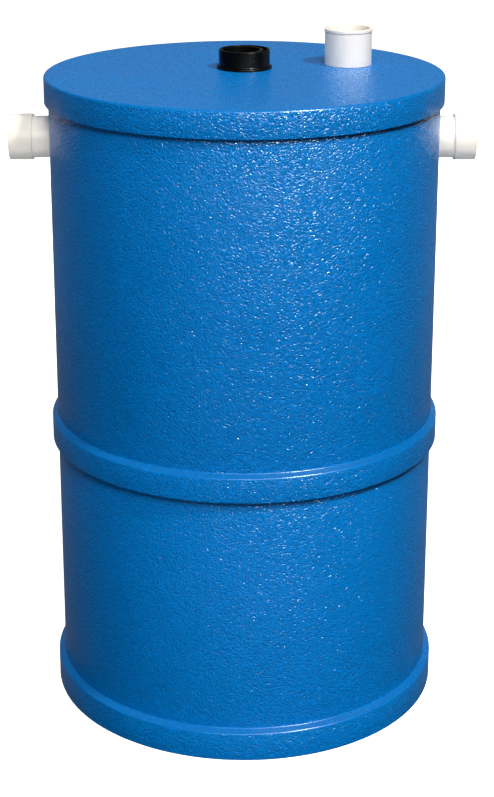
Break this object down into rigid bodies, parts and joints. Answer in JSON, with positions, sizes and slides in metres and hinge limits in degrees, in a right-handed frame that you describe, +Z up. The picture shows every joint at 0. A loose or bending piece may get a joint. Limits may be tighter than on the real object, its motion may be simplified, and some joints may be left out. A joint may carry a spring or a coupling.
{
  "type": "septic tank",
  "caption": "Upright round plastic septic tank with a flat lid, mid and base bands, side inlet and outlet stubs, a vent socket and a lid collar.",
  "frame": {"origin": "on the tank's axis at the underside of the base disc, level with the floor", "axes": "+Z up along the tank's axis, the inlet stub along -X and the outlet stub along +X, the vent towards +Y"},
  "size_m": [1.22, 1.0548, 1.807],
  "materials": {
    "blue_plastic": "moulded, fine leather grain, satin gloss",
    "white_pvc": "smooth extruded, satin",
    "black_plastic": "moulded, satin"
  },
  "bodies": {
    "root": {"base_disc": "blue_plastic", "base_band_right": "blue_plastic", "base_band_back": "blue_plastic", "base_band_left": "blue_plastic", "base_band_front": "blue_plastic", "lower_wall_right": "blue_plastic", "lower_wall_back_right": "blue_plastic", "lower_wall_back": "blue_plastic", "lower_wall_back_left": "blue_plastic", "lower_wall_left": "blue_plastic", "lower_wall_front_left": "blue_plastic", "lower_wall_front": "blue_plastic", "lower_wall_front_right": "blue_plastic", "mid_band_right": "blue_plastic", "mid_band_back": "blue_plastic", "mid_band_left": "blue_plastic", "mid_band_front": "blue_plastic", "upper_wall_right": "blue_plastic", "upper_wall_back_right": "blue_plastic", "upper_wall_back": "blue_plastic", "upper_wall_back_left": "blue_plastic", "upper_wall_left": "blue_plastic", "upper_wall_front_left": "blue_plastic", "upper_wall_front": "blue_plastic", "upper_wall_front_right": "blue_plastic", "lid_skirt_right": "blue_plastic", "lid_skirt_back": "blue_plastic", "lid_skirt_left": "blue_plastic", "lid_skirt_front": "blue_plastic", "lid_top": "blue_plastic", "inlet_pipe": "white_pvc", "inlet_coupler": "white_pvc", "outlet_pipe": "white_pvc", "outlet_coupler": "white_pvc", "vent_socket": "white_pvc", "collar": "black_plastic"}
  },
  "joints": []
}
